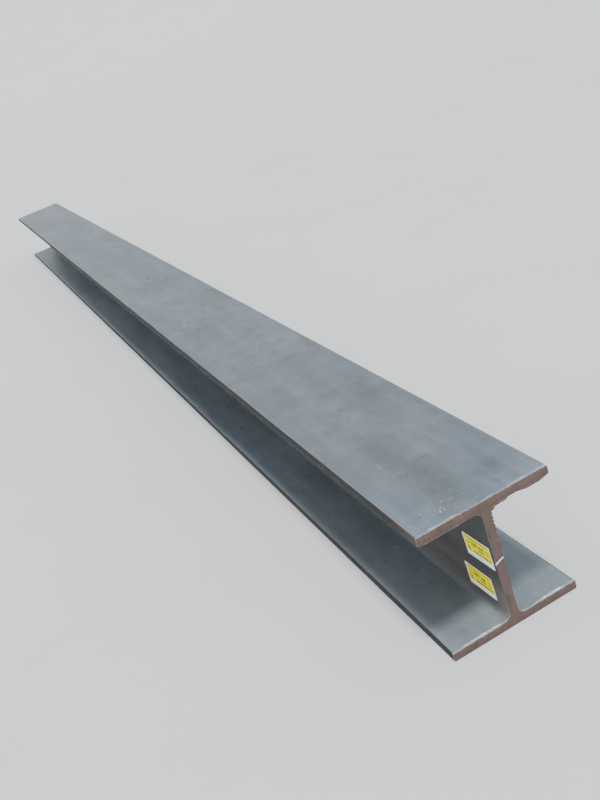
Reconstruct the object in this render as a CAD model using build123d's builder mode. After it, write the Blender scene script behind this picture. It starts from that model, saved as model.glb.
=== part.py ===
"""Hot-rolled wide-flange steel H-beam, square section, with two stick-on tags on its web.

The section is drawn in the XZ plane and the beam runs along Y, lying on its bottom flange.
The origin is on the underside of that flange, at mid length and mid width. Sizes are in mm.
"""

import os

from build123d import *

# Rolled section
section_depth = 310.0
flange_width = 310.0
web_thickness = 20.0
flange_thickness = 20.0
root_radius = 18.0
tip_radius = 3.0

# Stock length between the two sawn ends
beam_length = 6000.0

# Tags on the left side of the web, beside the near end
tag_length = 100.0
tag_height = 55.0
tag_thickness = 0.2
tag_corner_radius = 1.5

# Upper tag: its gap from the sawn end, its rise above mid depth and its lean
upper_tag_end_gap = 10.0
upper_tag_rise = 10.0
upper_tag_lean = 3.3

# Lower tag: its gap from the sawn end, its gap above the root fillet and its lean
lower_tag_end_gap = 40.0
lower_tag_fillet_gap = 5.0
lower_tag_lean = 2.4

os.makedirs("parts", exist_ok=True)


# Rolled beam: two parallel flanges and a web in one piece, with root fillets between them
with BuildPart() as rolled_beam:
    with BuildSketch(Plane.XZ) as section:
        for flange_bottom in (0, section_depth - flange_thickness):
            with Locations((0, flange_bottom)):
                Rectangle(flange_width, flange_thickness, align=(Align.CENTER, Align.MIN))
        Rectangle(web_thickness, section_depth, align=(Align.CENTER, Align.MIN))
        # Across the width the corners stand in four rows: tips, roots, roots, tips
        corner_rows = section.vertices().group_by(Axis.X)
        fillet(corner_rows[1] + corner_rows[2], root_radius)
        corner_rows = section.vertices().group_by(Axis.X)
        fillet(corner_rows[0] + corner_rows[-1], tip_radius)
    extrude(amount=beam_length / 2, both=True)

rolled_beam.part.label = "rolled_beam"
export_step(rolled_beam.part, "parts/rolled_beam.step")


def web_face_plane(end_gap, centre_height):
    """Plane on the left web face, with its x towards the near sawn end and its y upwards."""
    near_end = -beam_length / 2
    centre = (-web_thickness / 2, near_end + end_gap + tag_length / 2, centre_height)
    return Plane(origin=centre, x_dir=(0, -1, 0), z_dir=(-1, 0, 0))


# Tags: thin rectangles of film with small round corners, stuck flat on the web by hand
upper_tag_height = section_depth / 2 + upper_tag_rise
lower_tag_height = flange_thickness + root_radius + lower_tag_fillet_gap + tag_height / 2

for name, plane, lean in (
    ("upper_tag", web_face_plane(upper_tag_end_gap, upper_tag_height), upper_tag_lean),
    ("lower_tag", web_face_plane(lower_tag_end_gap, lower_tag_height), lower_tag_lean),
):
    with BuildPart() as tag:
        with BuildSketch(plane) as outline:
            Rectangle(tag_length, tag_height, rotation=lean)
            fillet(outline.vertices(), tag_corner_radius)
        extrude(amount=tag_thickness)
    tag.part.label = name
    export_step(tag.part, f"parts/{name}.step")
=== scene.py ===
import math
import random

import bmesh
import bpy
from mathutils import Euler, Matrix, Vector


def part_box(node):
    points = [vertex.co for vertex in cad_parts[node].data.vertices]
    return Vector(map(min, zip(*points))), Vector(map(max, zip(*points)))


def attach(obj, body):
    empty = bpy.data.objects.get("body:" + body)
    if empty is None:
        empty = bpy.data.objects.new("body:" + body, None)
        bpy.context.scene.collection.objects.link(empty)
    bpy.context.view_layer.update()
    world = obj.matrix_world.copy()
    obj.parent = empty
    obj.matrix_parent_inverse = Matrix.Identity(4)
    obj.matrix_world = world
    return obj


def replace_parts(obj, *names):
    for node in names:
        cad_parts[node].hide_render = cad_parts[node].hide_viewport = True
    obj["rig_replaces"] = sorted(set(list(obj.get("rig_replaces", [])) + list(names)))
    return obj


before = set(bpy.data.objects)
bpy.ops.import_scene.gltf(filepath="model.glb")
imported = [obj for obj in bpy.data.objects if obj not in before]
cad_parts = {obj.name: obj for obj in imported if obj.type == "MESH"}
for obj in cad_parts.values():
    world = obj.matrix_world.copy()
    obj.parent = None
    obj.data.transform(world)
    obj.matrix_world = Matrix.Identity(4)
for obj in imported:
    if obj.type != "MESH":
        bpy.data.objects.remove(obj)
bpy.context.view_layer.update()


# Rolled steel
# One length of hot-rolled wide-flange section: two parallel flanges and a web rolled from one
# bloom, with root fillets where they meet. The rolled faces keep their blue-grey mill scale,
# and both ends are sawn square, which bares the steel to a thin brown rust.

low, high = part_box("rolled_beam")
length = high.y - low.y
depth = high.z - low.z

# The section: wall thicknesses, the fillets between them, and the rounded flange tips
WEB = 0.020
FLANGE = 0.020
ROOT = 0.018
ROOT_STEPS = 10
TIP = 0.003
TIP_STEPS = 4
WEB_FACE = WEB / 2
ROOT_END = WEB_FACE + ROOT
UNDER_TOP = depth - FLANGE

# The worn edge of a sawn end, and the least part of a sawn face's normal along the beam
ARRIS = 0.0009
SQUARE = 0.99

# The mesh's step across the section and near the ends, how far in from each end those
# zones reach, and its step along the rest
WAVE_STEP = 0.008
END_ZONE = 0.40
LONG_STEP = 0.080

# Rolling waves and ripples of the scale: their size over the surface and their whole height
WAVE_SIZES = (("rolling_waves", 0.22, 0.0009), ("scale_ripples", 0.035, 0.00025))

# Pale scuffs on the left ledge: the middle, from the web's middle and from the near end,
# the half length and half width, and the turn from the beam's run in radians
SCUFFS = (
    ((-0.0351, 0.3016), (0.013, 0.0016), 0.9),
    ((-0.0561, 0.4072), (0.011, 0.0022), 0.5),
    ((-0.0900, 0.4343), (0.010, 0.0016), 1.1),
)

# How far the saw's tracks bow from a straight line at 1 m from mid depth
TRACK_BOW = 0.56


def start_fresh():
    """Leaves nothing selected, so that the next primitive is the only piece in hand."""
    bpy.ops.object.select_all(action="DESELECT")


def settle(name):
    """Bakes the place of the piece in hand into its mesh, names it and returns it."""
    piece = bpy.context.object
    bpy.ops.object.transform_apply(location=True, rotation=True, scale=True)
    piece.name = name
    piece.data.name = name
    return piece


def choose(kind, test, among_chosen=False):
    """In edit mode, selects only the faces, edges or vertices that pass a test.

    A face is tested by its middle and its normal, an edge by its middle and its run,
    and a vertex by its place and its normal. The choice may be made among what is selected.
    """
    bpy.ops.mesh.select_mode(type=kind)
    mesh = bmesh.from_edit_mesh(bpy.context.object.data)
    if kind == "FACE":
        facts = [(face, face.calc_center_median(), face.normal) for face in mesh.faces]
    elif kind == "EDGE":
        ends = [(edge, edge.verts[0].co, edge.verts[1].co) for edge in mesh.edges]
        facts = [(edge, (start + end) / 2, end - start) for edge, start, end in ends]
    else:
        facts = [(vertex, vertex.co, vertex.normal) for vertex in mesh.verts]
    picked = [(item.select or not among_chosen) and test(*values) for item, *values in facts]
    for item, *values in facts:
        item.select_set(False)
    for (item, *values), good in zip(facts, picked):
        if good:
            item.select_set(True)
    mesh.select_flush_mode()
    bmesh.update_edit_mesh(bpy.context.object.data)


def use(kind, **settings):
    """Adds a modifier to the piece in hand, sets it and applies it."""
    modifier = bpy.context.object.modifiers.new(kind.lower(), kind)
    for name, value in settings.items():
        setattr(modifier, name, value)
    bpy.ops.object.modifier_apply(modifier=modifier.name)


def coat(*materials):
    """Gives the piece in hand its materials, the first of them all over."""
    bpy.context.object.data.materials.clear()
    for material in materials:
        bpy.context.object.data.materials.append(material)


def coat_chosen(material):
    """In edit mode, gives the chosen faces one of the piece's materials."""
    piece = bpy.context.object
    piece.active_material_index = piece.data.materials.find(material.name)
    bpy.ops.object.material_slot_assign()


def along(run, axis):
    """True for an edge that runs along one axis, 0, 1 or 2."""
    return run.length > 0 and abs(run[axis]) > 0.999 * run.length


def waves(name, size):
    """A cloud texture for the Displace modifier, with soft waves of one size."""
    texture = bpy.data.textures.new(name, "CLOUDS")
    texture.noise_scale = size
    texture.noise_depth = 1
    return texture


class Wire:
    """One output of a node in a material. Arithmetic on a wire adds its Math nodes."""

    def __init__(self, tree, socket=None):
        self.tree = tree
        self.socket = socket

    def feed(self, node, inputs):
        """Sets a node's sockets to values, or links wires to them."""
        for key, value in inputs.items():
            if isinstance(value, Wire):
                self.tree.links.new(value.socket, node.inputs[key])
            else:
                node.inputs[key].default_value = value

    def node(self, kind, settings=None, inputs=None, output=0):
        """Adds a node, sets it up, feeds it and returns one of its outputs."""
        made = self.tree.nodes.new("ShaderNode" + kind)
        for name, value in (settings or {}).items():
            if name == "stops":
                ramp = made.color_ramp
                for _ in value[2:]:
                    ramp.elements.new(0.5)
                for element, (position, colour) in zip(ramp.elements, value):
                    element.position = position
                    element.color = colour
            else:
                setattr(made, name, value)
        self.feed(made, inputs or {})
        return Wire(self.tree, made.outputs[output])

    def maths(self, operation, *others):
        """A Math node with the wire in its first socket."""
        return self.node("Math", {"operation": operation}, dict(enumerate((self, *others))))

    def __add__(self, other):
        return self.maths("ADD", other)

    def __sub__(self, other):
        return self.maths("SUBTRACT", other)

    def __rsub__(self, other):
        return self.node("Math", {"operation": "SUBTRACT"}, {0: other, 1: self})

    def __mul__(self, other):
        return self.maths("MULTIPLY", other)

    def __abs__(self):
        return self.maths("ABSOLUTE")

    __radd__ = __add__
    __rmul__ = __mul__

    def over(self, start, end):
        """0 up to start, 1 past end, and a smooth rise between. It falls where end is lower."""
        return self.node("MapRange", {"interpolation_type": "SMOOTHSTEP"},
                         {"Value": self, "From Min": start, "From Max": end})

    def blend(self, colour, other):
        """The first colour where the wire is 0 and the other where it is 1."""
        return self.node("Mix", {"data_type": "RGBA"}, {0: self, 6: colour, 7: other}, 2)

    def ramp(self, *stops):
        """Colours by the wire's value. Each stop is a value and its colour."""
        return self.node("ValToRGB", {"stops": stops}, {0: self})

    def axes(self):
        """The three parts of a vector."""
        outputs = self.node("SeparateXYZ", inputs={0: self}).socket.node.outputs
        return [Wire(self.tree, output) for output in outputs]

    def stretched(self, x, y, z, turn=0):
        """Coordinates turned about Z and scaled: under 1 draws a pattern out along that axis."""
        return self.node("Mapping", inputs={"Vector": self, "Rotation": (0, 0, turn),
                                            "Scale": (x, y, z)})

    def noise(self, scale, detail=3.0, roughness=0.55):
        """Soft noise around 0.5, with this many of its waves to the metre."""
        return self.node("TexNoise", inputs={"Vector": self, "Scale": scale, "Detail": detail,
                                             "Roughness": roughness})

    def bump(self, strength, distance):
        """A normal tilted by the wire as a height."""
        return self.node("Bump", inputs={"Height": self, "Strength": strength,
                                         "Distance": distance})


def rgb(red, green, blue):
    """A colour as the nodes take it, with its alpha."""
    return (red, green, blue, 1.0)


def finish(name, recipe):
    """Makes a material. Its recipe takes object coordinates and gives the shader's inputs."""
    material = bpy.data.materials.new(name)
    material.use_nodes = True
    shader = material.node_tree.nodes["Principled BSDF"]
    place = Wire(material.node_tree).node("TexCoord", output="Object")
    place.feed(shader, recipe(place))
    return material


def scuff(x, y, middle, size, turn):
    """A thin scuff mark: its middle, its half length and half width, and its turn."""
    right = x - middle[0]
    forward = y - middle[1]
    across = right * math.cos(turn) + forward * math.sin(turn)
    lengthwise = forward * math.cos(turn) - right * math.sin(turn)
    half_length, half_width = size
    narrow = abs(across).over(half_width, half_width * 0.3)
    return narrow * abs(lengthwise).over(half_length, half_length * 0.5)


def parts_of_section(out, z):
    """Masks of the ledge on the bottom flange, the web, the lower roots and the flange tips."""
    on_ledge = z.over(FLANGE + 0.0040, FLANGE + 0.0006) * z.over(FLANGE - 0.0020, FLANGE - 0.0004)
    between_flanges = z.over(FLANGE - 0.008, FLANGE + 0.010) * z.over(UNDER_TOP + 0.010, UNDER_TOP)
    on_web = out.over(ROOT_END + 0.006, WEB_FACE + 0.002) * between_flanges
    low_down = z.over(FLANGE - 0.010, FLANGE + 0.014) * z.over(FLANGE + 0.110, FLANGE + 0.020)
    near_root = out.over(ROOT_END + 0.022, WEB_FACE + 0.002) * low_down
    on_tip = out.over(high.x - 0.0042, high.x - 0.0015)
    return on_ledge, on_web, near_root, on_tip


def mill_scale(place):
    """Blue-grey oxide skin, smooth and cloudy, with a hazy brown film, a bright band on the sawn
    edges, scuffs, and painted light and shade.
    """
    x, y, z = place.axes()
    out = abs(x)
    from_end = high.y - abs(y)
    on_ledge, on_web, near_root, on_tip = parts_of_section(out, z)
    rolled = place.stretched(1, 0.06, 1)
    patches = place.stretched(1, 0.30, 1).noise(6, 5, 0.6)
    streaks = rolled.noise(24, 3)
    clouds = place.noise(17, 5, 0.6)
    fine = place.noise(150, 4, 0.6)
    tone = patches * 0.42 + streaks * 0.20 + clouds * 0.26 + fine * 0.12
    blue = tone.ramp((0.38, rgb(0.104, 0.126, 0.152)), (0.50, rgb(0.176, 0.206, 0.242)),
                     (0.62, rgb(0.262, 0.298, 0.340)))
    green = tone.ramp((0.38, rgb(0.094, 0.112, 0.118)), (0.50, rgb(0.162, 0.184, 0.196)),
                      (0.62, rgb(0.246, 0.272, 0.286)))
    colour = place.stretched(1, 0.4, 1).noise(6, 3).over(0.44, 0.66).blend(blue, green)
    on_top = z.over(high.z - 0.0100, high.z - 0.0015)
    # Painted shade: the scale darkens a little away from the ends, and the top face darkens much
    # more from 0.015 m to 0.11 m in, so that only the ends look lit
    painted_shade_from_end = from_end.over(0.06, 0.40) * 0.06 + on_top * from_end.over(0.015, 0.110) * 0.38
    colour = painted_shade_from_end.blend(colour, rgb(0.078, 0.092, 0.102))
    # Painted light: the upper face of the bottom flange is a lighter blue-grey, standing in for
    # light that reaches into the channel
    colour = (on_ledge * (0.16 + patches * 0.5)).blend(colour, rgb(0.285, 0.325, 0.345))

    # The web is dull, and painted dark as shade up into the fillet under the top flange. A hazy
    # brown film gathers along the lower roots. The flange tips are painted dark as shade too, and
    # lighter and browner where the top flange meets its sawn ends, as painted light
    drift = place.stretched(1, 0.14, 1).noise(18, 4).over(0.20, 0.74)
    dull = place.stretched(1, 0.3, 1).noise(9, 4).over(0.30, 0.70)
    web_painted_shade = dull.blend(rgb(0.018, 0.017, 0.021), rgb(0.038, 0.034, 0.033))
    colour = (on_web * 0.90).blend(colour, web_painted_shade)
    # A real brown film along the lower roots, with a lighter patch near each end painted as light
    # falling on the root
    haze_and_lit_root = drift * (near_root * 0.62 + 0.04) + near_root * from_end.over(0.060, 0.012) * 0.70
    colour = haze_and_lit_root.blend(colour, rgb(0.158, 0.136, 0.110))
    # Painted shade and light: the flange tips are near black, and the top flange's tips a lighter
    # brown within 0.12 m of each end, where light falls on them
    lit_tip_near_end = z.over(depth / 2 - 0.005, depth / 2 + 0.005) * from_end.over(0.12, 0.005)
    tip_shade_and_light = lit_tip_near_end.blend(rgb(0.020, 0.016, 0.016), rgb(0.066, 0.049, 0.037))
    colour = (on_tip * (0.80 + clouds * 0.4)).blend(colour, tip_shade_and_light)
    on_corner = out.over(high.x - 0.0055, high.x - 0.0038) * out.over(high.x - 0.0014, high.x - TIP)
    worn = on_corner * rolled.noise(60, 3).over(0.40, 0.56)
    colour = (worn * 0.6).blend(colour, rgb(0.230, 0.210, 0.190))

    # A ragged bright band along the sawn edge of the upper faces, strongest on the bottom flange,
    # is scraped steel and a painted highlight, with painted sparkle on it. The saw scraped a fine
    # line on all the other faces
    facing_up = z.over(high.z - 0.0020, high.z - 0.0005) * 0.40 + on_ledge
    torn = place.noise(15, 3).over(0.44, 0.58)
    ragged = from_end + (clouds - 0.5) * 0.012 + (fine - 0.5) * 0.010 - torn * 0.0032
    scraped_rim_and_highlight = ragged.over(0.0058, 0.0026) * facing_up
    colour = (scraped_rim_and_highlight * (0.50 + torn * 0.4)).blend(colour, rgb(0.600, 0.570, 0.570))
    painted_glints = scraped_rim_and_highlight * torn * place.noise(40, 3).over(0.46, 0.60)
    colour = painted_glints.blend(colour, rgb(0.800, 0.780, 0.785))
    scraped = from_end.over(0.0042, 0.0022) * clouds.over(0.38, 0.56) * (1 - on_web * 0.8)
    colour = (scraped * 0.55).blend(colour, rgb(0.300, 0.270, 0.250))

    # Spots where the scale has sprung off, rust dots, scratches, scuffs and pale dust
    flaked = place.stretched(1, 0.5, 1).noise(30, 6, 0.62).over(0.605, 0.625)
    flaked = flaked * place.noise(2.6, 2).over(0.44, 0.60)
    colour = (flaked * 0.35).blend(colour, rgb(0.128, 0.112, 0.100))
    dots = place.noise(150, 2, 0.7).over(0.685, 0.72) * place.noise(7, 2).over(0.44, 0.60)
    colour = (dots * 0.7).blend(colour, rgb(0.150, 0.082, 0.050))
    slant = place.stretched(1, 0.03, 1, turn=0.5)
    scratches = slant.noise(230, 1, 0.8).over(0.745, 0.785) * place.noise(12, 2).over(0.46, 0.60)
    scratches = scratches * (1 - on_web)
    marks = sum(scuff(x, y - low.y, *each) for each in SCUFFS)
    marks = marks * z.over(FLANGE + 0.010, FLANGE + 0.004) * fine.over(0.40, 0.52)
    colour = (scratches * 0.45 + marks * 0.9).blend(colour, rgb(0.42, 0.42, 0.41))
    specks = place.noise(640, 1).over(0.745, 0.785) * place.noise(9, 2).over(0.44, 0.62)
    colour = (specks * 0.5).blend(colour, rgb(0.40, 0.39, 0.37))
    height = fine * 0.4 + clouds * 0.8 - flaked * 0.25 - dots * 0.3 - scratches * 0.3
    dullness = on_web * 0.24 + on_tip * 0.45 + flaked * 0.12
    return {
        "Base Color": colour,
        "Roughness": 0.34 + patches * 0.12 + fine * 0.10 + dullness,
        "Metallic": 0.42 - on_web * 0.34 - on_tip * 0.4 - haze_and_lit_root * 0.08,
        "Normal": height.bump(0.22, 0.0006),
    }


def sawn_steel(place):
    """Bare sawn steel under thin rust: mauve-brown, with the curved tracks of a big blade."""
    x, _, z = place.axes()
    lift = z - depth / 2
    across = x + lift * lift * TRACK_BOW
    tracks = place.node("CombineXYZ", inputs={0: across, 2: z * 0.03})
    fine = tracks.noise(900, 3, 0.7)
    broad = tracks.noise(140, 2)
    stains = place.noise(24, 5, 0.62)
    grain = place.noise(420, 3, 0.65)
    tone = stains * 0.50 + fine * 0.16 + broad * 0.18 + grain * 0.16
    colour = tone.ramp((0.37, rgb(0.057, 0.039, 0.033)), (0.47, rgb(0.104, 0.067, 0.055)),
                       (0.55, rgb(0.137, 0.083, 0.067)), (0.65, rgb(0.180, 0.126, 0.088)))
    mauve = place.noise(13, 3).over(0.46, 0.62)
    colour = (mauve * 0.45).blend(colour, rgb(0.118, 0.080, 0.080))
    tan = place.noise(40, 4, 0.6).over(0.56, 0.70)
    colour = (tan * 0.5).blend(colour, rgb(0.148, 0.112, 0.076))
    pits = place.noise(230, 2).over(0.655, 0.70)
    colour = (pits * 0.6).blend(colour, rgb(0.052, 0.035, 0.030))
    return {
        "Base Color": colour,
        "Roughness": 0.60 + stains * 0.24,
        "Metallic": 0.10,
        "Normal": (fine * 0.5 + broad * 0.6 + grain * 0.5 - pits * 0.4).bump(0.6, 0.0009),
    }


def rubbed_arris(place):
    """The sharp edge of a sawn end, freckled with rust and rubbed pale, and painted darker down the
    web as shade.
    """
    z = place.axes()[2]
    freckles = place.noise(120, 4, 0.65)
    colour = freckles.over(0.40, 0.60).blend(rgb(0.33, 0.30, 0.28), rgb(0.15, 0.110, 0.096))
    # Painted shade: the edge is darker where it runs down the web
    on_web = z.over(FLANGE + 0.020, FLANGE + 0.040) * z.over(UNDER_TOP, UNDER_TOP - 0.010)
    colour = (on_web * 0.8).blend(colour, rgb(0.120, 0.086, 0.076))
    return {
        "Base Color": colour,
        "Roughness": 0.40 + freckles * 0.3,
        "Metallic": 0.35,
        "Normal": freckles.bump(0.4, 0.0005),
    }


mill_scale_finish = finish("mill_scale", mill_scale)
sawn_finish = finish("sawn_steel", sawn_steel)
arris_finish = finish("rubbed_arris", rubbed_arris)

# The web is a box, its two edge strips are drawn out into flanges, and the edges are rounded
start_fresh()
bpy.ops.mesh.primitive_cube_add(size=1, location=(low + high) / 2, scale=(WEB, length, depth))
rolled_steel = settle("rolled_steel")
coat(mill_scale_finish, sawn_finish, arris_finish)
bpy.ops.object.mode_set(mode="EDIT")
for cut in (FLANGE, UNDER_TOP):
    bpy.ops.mesh.select_all(action="SELECT")
    bpy.ops.mesh.bisect(plane_co=(0, 0, cut), plane_no=(0, 0, 1))
for side in (-1, 1):
    choose("FACE", lambda middle, normal: normal.x * side > 0.9
           and not FLANGE < middle.z < UNDER_TOP)
    bpy.ops.mesh.extrude_region_move(
        TRANSFORM_OT_translate={"value": (side * (high.x - WEB_FACE), 0, 0)}
    )
bpy.ops.mesh.select_all(action="SELECT")
bpy.ops.mesh.dissolve_limited(angle_limit=math.radians(1))
choose("EDGE", lambda middle, run: along(run, 1) and abs(middle.x) < WEB)
bpy.ops.mesh.bevel(offset=ROOT, segments=ROOT_STEPS, affect="EDGES")
choose("EDGE", lambda middle, run: along(run, 1) and abs(middle.x) > high.x - TIP)
bpy.ops.mesh.bevel(offset=TIP, segments=TIP_STEPS, affect="EDGES")
choose("EDGE", lambda middle, run: abs(middle.y) > high.y - ARRIS)
bpy.ops.mesh.bevel(offset=ARRIS, segments=2, affect="EDGES")
choose("FACE", lambda middle, normal: 0.1 < abs(normal.y) < SQUARE)
coat_chosen(arris_finish)

# The end faces come out while the flats are divided, across and along and closely near the
# ends, to carry the rolling waves. Each sawn face is then closed as one flat face
choose("FACE", lambda middle, normal: abs(normal.y) > SQUARE)
bpy.ops.mesh.delete(type="ONLY_FACE")
for axis, flat in ((0, 2 * high.x), (0, high.x), (2, depth)):
    choose("EDGE", lambda middle, run: along(run, axis) and flat / 2 < run.length < flat)
    bpy.ops.mesh.subdivide(number_cuts=round(flat * 0.75 / WAVE_STEP))
for cut in (low.y + END_ZONE, high.y - END_ZONE):
    bpy.ops.mesh.select_all(action="SELECT")
    bpy.ops.mesh.bisect(plane_co=(0, cut, 0), plane_no=(0, 1, 0))
for zone, step in ((END_ZONE, WAVE_STEP), (length - 2 * END_ZONE, LONG_STEP)):
    choose("EDGE", lambda middle, run: along(run, 1) and abs(run.length - zone) < WAVE_STEP)
    bpy.ops.mesh.subdivide(number_cuts=round(zone / step) - 1)
bpy.ops.mesh.select_all(action="SELECT")
bpy.ops.mesh.fill_holes(sides=0)
choose("FACE", lambda middle, normal: abs(normal.y) > SQUARE)
coat_chosen(sawn_finish)
bpy.ops.object.mode_set(mode="OBJECT")
for name, size, height in WAVE_SIZES:
    use("DISPLACE", texture=waves(name, size), strength=height, mid_level=0.5)
bpy.ops.object.shade_smooth_by_angle(angle=math.radians(28))
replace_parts(rolled_steel, "rolled_beam")
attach(rolled_steel, "root")


# Saw burr
# The blade leaves a ragged fin of steel where its teeth come out of the cut: down the web's
# right edge, round the fillet and under the top flange. It is drawn out of the end's outline.

# The fin's thickness along the beam, how far it stands proud of the cut, and its mesh step
BURR_THICK = 0.0014
BURR_PROUD = 0.0003
BURR_STEP = 0.0013

# The spacing of its teeth on the web and under the flange, and the least and the most that
# chance makes of its reach
WEB_TOOTH = 0.0093
FLANGE_TOOTH = 0.0075
RAGGED = (0.84, 1.06)


def lobe(at, reach, start, end, slope):
    """A reach along one stretch and 0 outside it, with a slope inside both of its ends."""
    rise = min(max((at - start) / slope, 0), 1)
    fall = min(max((end - at) / slope, 0), 1)
    return reach * rise * fall


def scallops(at, tooth, notch):
    """A row of round teeth. The notches between them are sharp and take a share of the reach."""
    return 1 - notch + notch * abs(math.sin(math.pi * at / tooth))


def right_reach(place):
    """How far the fin stands out on the right of the web, in two lobes under the flange."""
    web = lobe(place.z, 0.0034, 0.168, 0.290, 0.004) * scallops(place.z, WEB_TOOTH, 0.85)
    low_web = lobe(place.z, 0.0010, 0.030, 0.156, 0.010) * scallops(place.z, WEB_TOOTH, 0.6)
    root = lobe(place.x, 0.0055, 0.0105, 0.0545, 0.006)
    outer = lobe(place.x, 0.0060, 0.076, 0.152, 0.022)
    return web + low_web + (root + outer) * scallops(place.x, FLANGE_TOOTH, 0.28)


def left_reach(place):
    """How far the lower fin under the left half of the flange stands out."""
    outer = lobe(-place.x, 0.0028, 0.050, 0.152, 0.012)
    root = lobe(-place.x, 0.0012, 0.026, 0.058, 0.008)
    return (outer + root) * scallops(place.x, FLANGE_TOOTH, 0.35)


def saw_burr(name, on_edge, air, reach, seed):
    """Draws a fin out of the part of the near end's outline that passes a test.

    air is a direction that points from the steel into the air beside that edge.
    """
    start_fresh()
    bpy.context.view_layer.objects.active = rolled_steel
    rolled_steel.select_set(True)
    bpy.ops.object.mode_set(mode="EDIT")
    choose("FACE", lambda middle, normal: normal.y < -SQUARE and middle.y < low.y + ARRIS)
    bpy.ops.mesh.region_to_loop()
    choose("EDGE", lambda middle, run: on_edge(middle), among_chosen=True)
    bpy.ops.mesh.duplicate()
    bpy.ops.mesh.separate(type="SELECTED")
    bpy.ops.object.mode_set(mode="OBJECT")
    piece = [found for found in bpy.context.selected_objects if found is not rolled_steel][0]
    start_fresh()
    bpy.context.view_layer.objects.active = piece
    piece.select_set(True)
    piece = settle(name)
    # The fin stands for no CAD node, though the mesh that it is drawn from does
    del piece["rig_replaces"]
    # Its long edges are divided in three and then in two, to about one step, so that teeth show
    bpy.ops.object.mode_set(mode="EDIT")
    for parts in (3, 2):
        choose("EDGE", lambda middle, run: run.length > BURR_STEP * parts * 0.8)
        bpy.ops.mesh.subdivide(number_cuts=parts - 1)
    bpy.ops.mesh.select_all(action="SELECT")
    bpy.ops.transform.translate(value=(0, -BURR_PROUD, 0))
    bpy.ops.mesh.extrude_edges_move(TRANSFORM_OT_translate={"value": (0, BURR_THICK, 0)})
    bpy.ops.mesh.select_all(action="SELECT")
    bpy.ops.mesh.normals_make_consistent(inside=False)
    ribbon = bmesh.from_edit_mesh(piece.data)
    if sum(face.normal.dot(air) for face in ribbon.faces) < 0:
        bpy.ops.mesh.flip_normals()
    bpy.ops.object.mode_set(mode="OBJECT")
    draw = random.Random(seed)
    most = max(reach(vertex.co) for vertex in piece.data.vertices)
    group = piece.vertex_groups.new(name="reach")
    for vertex in piece.data.vertices:
        share = reach(vertex.co) * draw.uniform(*RAGGED) / most
        group.add([vertex.index], min(share, 1), "REPLACE")
    use("SOLIDIFY", thickness=most + ARRIS, offset=1, vertex_group="reach",
        thickness_vertex_group=ARRIS / (most + ARRIS), use_even_offset=False)
    use("SUBSURF", levels=1, render_levels=1)
    bpy.ops.object.shade_smooth_by_angle(angle=math.radians(50))
    coat(burr_finish)
    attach(piece, "root")


def burr_steel(place):
    """Torn steel, rusted like the sawn face, with lighter lumps painted in as highlights."""
    lumps = place.noise(120, 3)
    return {
        "Base Color": lumps.ramp((0.36, rgb(0.070, 0.049, 0.042)), (0.52, rgb(0.118, 0.083, 0.071)),
                                 (0.66, rgb(0.200, 0.155, 0.134))),
        "Roughness": 0.55 + lumps * 0.2,
        "Metallic": 0.15,
        "Normal": place.noise(420, 2).bump(0.5, 0.0006),
    }


burr_finish = finish("burr_steel", burr_steel)
saw_burr(
    "right_burr",
    lambda middle: 0.002 < middle.x < 0.152 and 0.030 < middle.z < UNDER_TOP + 0.002,
    Vector((1, 0, -1)), right_reach, seed=4,
)
saw_burr(
    "left_burr",
    lambda middle: -0.152 < middle.x < -0.026 and depth / 2 < middle.z < UNDER_TOP + 0.002,
    Vector((0, 0, -1)), left_reach, seed=9,
)


# Paint mark
# A stroke of white marking paint, drawn by hand straight across the web's sawn end.

# The stroke's width, its coat, its tilt, the height of its middle, and its lap past the edges
PAINT_WIDE = 0.0048
PAINT_COAT = 0.0004
PAINT_TURN = math.radians(22)
PAINT_MIDDLE = 0.165
PAINT_LAP = 0.0004

start_fresh()
bpy.ops.mesh.primitive_cube_add(size=1, scale=(WEB * 1.3, PAINT_COAT, PAINT_WIDE))
paint_mark = settle("paint_mark")
bpy.ops.object.mode_set(mode="EDIT")
choose("EDGE", lambda middle, run: along(run, 0))
bpy.ops.mesh.subdivide(number_cuts=15)
choose("EDGE", lambda middle, run: along(run, 2))
bpy.ops.mesh.subdivide(number_cuts=3)
choose("VERT", lambda place, normal: place.x > WEB * 0.1)
bpy.ops.transform.resize(value=(1, 1, 0.72))
choose("VERT", lambda place, normal: abs(place.z) > PAINT_WIDE * 0.3)
bpy.ops.transform.vertex_random(offset=0.0005, uniform=1.0, seed=6)
bpy.ops.mesh.select_all(action="SELECT")
bpy.ops.transform.rotate(value=PAINT_TURN, orient_axis="Y", center_override=(0, 0, 0))
for side in (-1, 1):
    bpy.ops.mesh.select_all(action="SELECT")
    bpy.ops.mesh.bisect(plane_co=(side * (WEB_FACE + PAINT_LAP), 0, 0), plane_no=(side, 0, 0),
                        clear_outer=True, use_fill=True)
bpy.ops.mesh.select_all(action="SELECT")
bpy.ops.transform.translate(value=(0, low.y, PAINT_MIDDLE))
bpy.ops.object.mode_set(mode="OBJECT")
use("SUBSURF", levels=1, render_levels=1)
bpy.ops.object.shade_smooth_by_angle(angle=math.radians(50))


def white_paint(place):
    """White paint, worn thin in places, with the rusty steel showing through."""
    thin = place.noise(320, 3)
    return {
        "Base Color": thin.over(0.34, 0.50).blend(rgb(0.36, 0.31, 0.29), rgb(0.82, 0.81, 0.79)),
        "Roughness": 0.5 + thin * 0.2,
        "Normal": thin.bump(0.3, 0.0004),
    }


coat(finish("white_paint", white_paint))
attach(paint_mark, "root")


# Grit
# A few pale crumbs of dried mud and spatter that lie on the top flange near its end.

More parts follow.
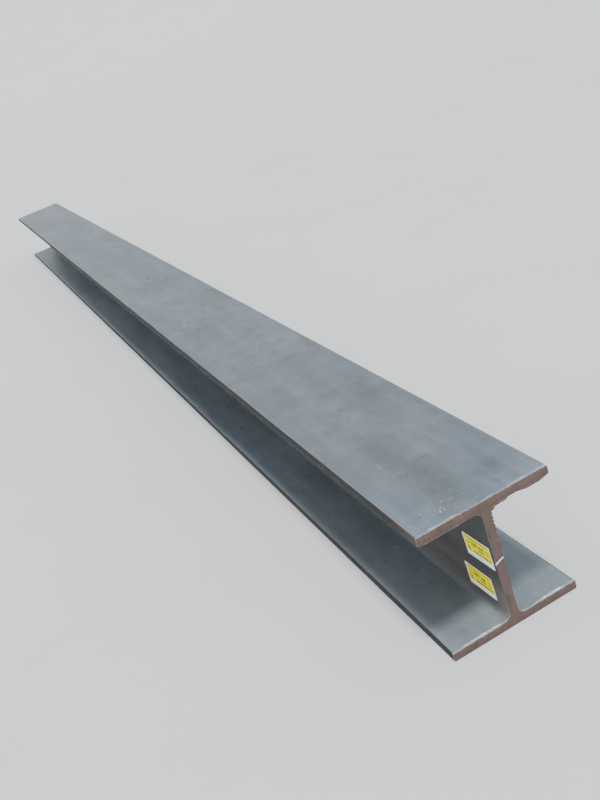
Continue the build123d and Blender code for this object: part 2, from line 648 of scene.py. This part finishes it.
# How many crumbs, their least and most radius, how much larger the first one is, the middle
# of the place where they lie, and their spread across and along the flange
CRUMBS = 16
CRUMB_RADIUS = (0.0006, 0.0011)
FIRST_LARGER = 2.2
GRIT_MIDDLE = Vector((-0.066, low.y + 0.047, high.z))
GRIT_SPREAD = (0.0165, 0.0075)


def pale_grit(place):
    """Dry mud and spatter, in pale greys."""
    tone = place.noise(260, 2)
    return {
        "Base Color": tone.blend(rgb(0.42, 0.41, 0.38), rgb(0.78, 0.77, 0.74)),
        "Roughness": 0.8,
    }


draw = random.Random(21)
crumbs = []
for index in range(CRUMBS):
    start_fresh()
    radius = draw.uniform(*CRUMB_RADIUS) * (FIRST_LARGER if index == 0 else 1)
    offset = Vector((draw.gauss(0, GRIT_SPREAD[0]), draw.gauss(0, GRIT_SPREAD[1]), 0))
    bpy.ops.mesh.primitive_ico_sphere_add(subdivisions=2, radius=radius)
    bpy.ops.object.mode_set(mode="EDIT")
    bpy.ops.mesh.select_all(action="SELECT")
    bpy.ops.transform.vertex_random(offset=radius * 0.22, uniform=1.0, seed=index)
    bpy.ops.transform.resize(value=(draw.uniform(0.8, 1.7), 1, 0.55))
    bpy.ops.object.mode_set(mode="OBJECT")
    bpy.ops.transform.translate(value=GRIT_MIDDLE + offset)
    crumbs.append(settle("crumb"))
start_fresh()
for crumb in crumbs:
    crumb.select_set(True)
bpy.context.view_layer.objects.active = crumbs[0]
bpy.ops.object.join()
grit = settle("grit")
coat(finish("pale_grit", pale_grit))
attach(grit, "root")


# Stock tags
# Two film tags stuck by hand on the web's left side beside the near end. Each is yellow with
# a pale margin, wide along its lower edge, and carries plain rows of bars in place of words.

# The tag's size, its film and glue, the ripples it dries with, its mesh step and the strength of
# its painted glow
TAG_LENGTH = 0.100
TAG_HEIGHT = 0.055
TAG_CORNER = 0.0015
TAG_FILM = 0.0002
TAG_GLUE = 0.0002
TAG_RIPPLE = 0.00012
TAG_STEP = 0.005
TAG_PAINTED_GLOW = 0.25

# How far each tag leans from level, in degrees
UPPER_LEAN = 3.3
LOWER_LEAN = 2.4

# The print, in shares of the tag: each row's two heights and two ends, its bars to the whole
# length, the share of bars that is printed, the seed that picks them, and each bar's width
DARK_BARS = (
    ((0.845, 0.890), (0.06, 0.90), 62, 0.84, 3, 0.70),
    ((0.770, 0.812), (0.06, 0.52), 70, 0.80, 19, 0.70),
    ((0.580, 0.735), (0.27, 0.73), 24, 0.88, 31, 0.78),
    ((0.600, 0.690), (0.06, 0.23), 42, 0.88, 11, 0.78),
    ((0.440, 0.530), (0.50, 0.73), 36, 0.94, 47, 0.78),
    ((0.465, 0.510), (0.26, 0.44), 66, 0.80, 53, 0.70),
    ((0.255, 0.370), (0.27, 0.93), 160, 0.64, 59, 1),
    ((0.670, 0.730), (0.79, 0.94), 50, 0.90, 71, 0.78),
    ((0.580, 0.625), (0.79, 0.94), 62, 0.84, 83, 0.70),
    ((0.465, 0.525), (0.79, 0.91), 50, 0.88, 89, 0.78),
)
BLUE_BARS = (
    ((0.060, 0.135), (0.08, 0.60), 30, 0.86, 97, 0.70),
    ((0.075, 0.120), (0.66, 0.92), 52, 0.84, 103, 0.70),
)

# A rule, a stamp of small cells and the yellow field, each with its two heights and two ends.
# The stamp's cells are counted over the whole tag, and a share of them is filled
RULE = ((0.912, 0.936), (0.05, 0.95))
STAMP = ((0.260, 0.525), (0.07, 0.205))
STAMP_CELLS = (80, 44)
STAMP_FILLED = 0.62
FIELD = ((0.194, 0.970), (0.016, 0.984))


def block(u, v, row, span):
    """A printed block: 1 between two heights and two ends of the tag, 0 around it."""
    tall = v.over(row[0] - 0.006, row[0] + 0.006) * v.over(row[1] + 0.006, row[1] - 0.006)
    wide = u.over(span[0] - 0.003, span[0] + 0.003) * u.over(span[1] + 0.003, span[1] - 0.003)
    return tall * wide


def bars(u, v, row, span, pitch, filled, seed, share):
    """A printed row of bars, some left out at random. Each inks a share of its own cell."""
    cell = u * pitch
    number = cell.maths("FLOOR") + seed
    chance = number.node("TexWhiteNoise", {"noise_dimensions": "1D"}, {"W": number})
    ink = chance.maths("LESS_THAN", filled) * cell.maths("FRACT").maths("LESS_THAN", share)
    return ink * block(u, v, row, span)


def stamp(u, v, row, span, cells, filled):
    """A printed square of small cells, filled at random."""
    column = (u * cells[0]).maths("FLOOR")
    line = (v * cells[1]).maths("FLOOR")
    cell = u.node("CombineXYZ", inputs={0: column, 1: line})
    chance = cell.node("TexWhiteNoise", {"noise_dimensions": "2D"}, {"Vector": cell})
    return chance.maths("LESS_THAN", filled) * block(u, v, row, span)


def tag_print(place):
    """Pale film, printed in blue below and with dark bars on a fluorescent yellow field.

    The whole film is given a faint painted glow of its own, which keeps it bright in shade.
    """
    u, v, _ = place.node("UVMap", {"uv_map": "print"}).axes()
    ink = block(u, v, *RULE) + stamp(u, v, *STAMP, STAMP_CELLS, STAMP_FILLED)
    ink += sum(bars(u, v, *row) for row in DARK_BARS)
    blue = sum(bars(u, v, *row) for row in BLUE_BARS)
    field = block(u, v, *FIELD)
    fade = place.noise(60, 2)
    yellow = fade.blend(rgb(0.82, 0.72, 0.0), rgb(0.90, 0.81, 0.002))
    printed = (ink * 0.92).blend(yellow, rgb(0.060, 0.055, 0.010))
    pale = (blue * 0.80).blend(rgb(0.87, 0.91, 0.92), rgb(0.15, 0.30, 0.56))
    colour = field.blend(pale, printed)
    return {
        "Base Color": colour,
        # Painted light: the film glows in its own colour, though it is no lamp
        "Emission Color": colour,
        "Emission Strength": TAG_PAINTED_GLOW,
        "Specular IOR Level": 0.08,
        "Roughness": 0.38 + fade * 0.12,
        "Normal": place.noise(90, 2).bump(0.12, 0.0008),
    }


tag_finish = finish("tag_film", tag_print)


def stock_tag(node, lean, seed):
    """Sticks one tag where the CAD tag is, upright for someone who faces the web."""
    start_fresh()
    corner, far_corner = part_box(node)
    bpy.ops.mesh.primitive_plane_add(size=1)
    bpy.ops.transform.resize(value=(TAG_LENGTH, TAG_HEIGHT, 1))
    tag = settle(node + "_film")
    bpy.ops.object.mode_set(mode="EDIT")
    bpy.ops.mesh.select_all(action="SELECT")
    bpy.ops.mesh.bevel(offset=TAG_CORNER, segments=3, affect="VERTICES")
    for axis, size in ((0, TAG_LENGTH), (1, TAG_HEIGHT)):
        cells = round(size / TAG_STEP)
        for step in range(1, cells):
            cut = Vector((0, 0, 0))
            cut[axis] = (step / cells - 0.5) * size
            bpy.ops.mesh.select_all(action="SELECT")
            bpy.ops.mesh.bisect(plane_co=cut, plane_no=Matrix.Identity(3)[axis])
    bpy.ops.mesh.select_all(action="SELECT")
    bpy.ops.transform.vertex_random(offset=TAG_RIPPLE, uniform=1.0, normal=1.0, seed=seed)
    bpy.ops.object.mode_set(mode="OBJECT")
    prints = tag.data.uv_layers.new(name="print")
    for loop in tag.data.loops:
        place = tag.data.vertices[loop.vertex_index].co
        prints.data[loop.index].uv = (place.x / TAG_LENGTH + 0.5, place.y / TAG_HEIGHT + 0.5)
    use("SUBSURF", levels=1, render_levels=1)
    use("SOLIDIFY", thickness=TAG_FILM, offset=1)
    # The tag's length turns to run towards the near end, its height upwards and its face to -X
    upright = Matrix(((0, 0, -1), (-1, 0, 0), (0, 1, 0)))
    turn = upright @ Matrix.Rotation(math.radians(lean), 3, "Z")
    middle = (corner + far_corner) / 2
    middle.x = -WEB_FACE - TAG_GLUE
    tag.matrix_world = Matrix.Translation(middle) @ turn.to_4x4()
    tag = settle(node + "_film")
    bpy.ops.object.shade_smooth_by_angle(angle=math.radians(40))
    coat(tag_finish)
    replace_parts(tag, node)
    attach(tag, "root")


stock_tag("upper_tag", UPPER_LEAN, seed=2)
stock_tag("lower_tag", LOWER_LEAN, seed=7)


# Floor
# A plain pale floor under the beam, which curves up far away into a plain wall all round.

FLOOR_RADIUS = 22.0
FLOOR_SIDES = 96
CURVE_RADIUS = 12.0
CURVE_STEPS = 10

start_fresh()
bpy.ops.mesh.primitive_circle_add(vertices=FLOOR_SIDES, radius=FLOOR_RADIUS, fill_type="NGON")
floor = settle("floor")
bpy.ops.object.mode_set(mode="EDIT")
radius, height = FLOOR_RADIUS, 0
for step in range(1, CURVE_STEPS + 1):
    turn = math.radians(90) * step / CURVE_STEPS
    next_radius = FLOOR_RADIUS + CURVE_RADIUS * math.sin(turn)
    next_height = CURVE_RADIUS * (1 - math.cos(turn))
    bpy.ops.mesh.extrude_edges_move(TRANSFORM_OT_translate={"value": (0, 0, next_height - height)})
    bpy.ops.transform.resize(value=(next_radius / radius, next_radius / radius, 1))
    radius, height = next_radius, next_height
bpy.ops.object.mode_set(mode="OBJECT")
bpy.ops.object.shade_smooth_by_angle(angle=math.radians(30))


def pale_floor(place):
    """A plain, pale and matt surface, all but even."""
    tone = place.noise(1.3, 3)
    return {
        "Base Color": tone.blend(rgb(0.58, 0.575, 0.56), rgb(0.65, 0.645, 0.63)),
        "Roughness": 0.8,
    }


coat(finish("pale_floor", pale_floor))


# Light
# A soft overcast sky and one broad key from high in front of the near end.

world = bpy.data.worlds.new("soft_sky")
bpy.context.scene.world = world
world.use_nodes = True
sky = world.node_tree.nodes["Background"]
sky.inputs["Color"].default_value = rgb(0.87, 0.94, 1.0)
sky.inputs["Strength"].default_value = 1.08

bpy.ops.object.light_add(type="SUN", rotation=(math.radians(18), 0, 0))
key = bpy.context.object
key.data.energy = 4.0
key.data.angle = math.radians(10)
key.data.color = (0.93, 0.97, 1.0)


# Camera
# It stands where the photograph was taken from, beside the near end, and looks along the
# beam from above, so that all of it shows.

EYE = Vector((-0.6634, -4.3614, 1.3047))
YAW = 16.0
PITCH = 24.0
ROLL = 20.0
FOCAL_PIXELS = 922
FRAME_PIXELS = 800
SENSOR = 36.0

camera = bpy.data.objects.new("camera", bpy.data.cameras.new("camera"))
bpy.context.scene.collection.objects.link(camera)
aim = Euler((math.radians(90 - PITCH), 0, math.radians(-YAW))).to_matrix()
aim = aim @ Matrix.Rotation(math.radians(-ROLL), 3, "Z")
camera.matrix_world = Matrix.Translation(EYE) @ aim.to_4x4()
camera.data.sensor_width = SENSOR
camera.data.lens = FOCAL_PIXELS / FRAME_PIXELS * SENSOR
camera.data.clip_end = 500
bpy.context.scene.camera = camera
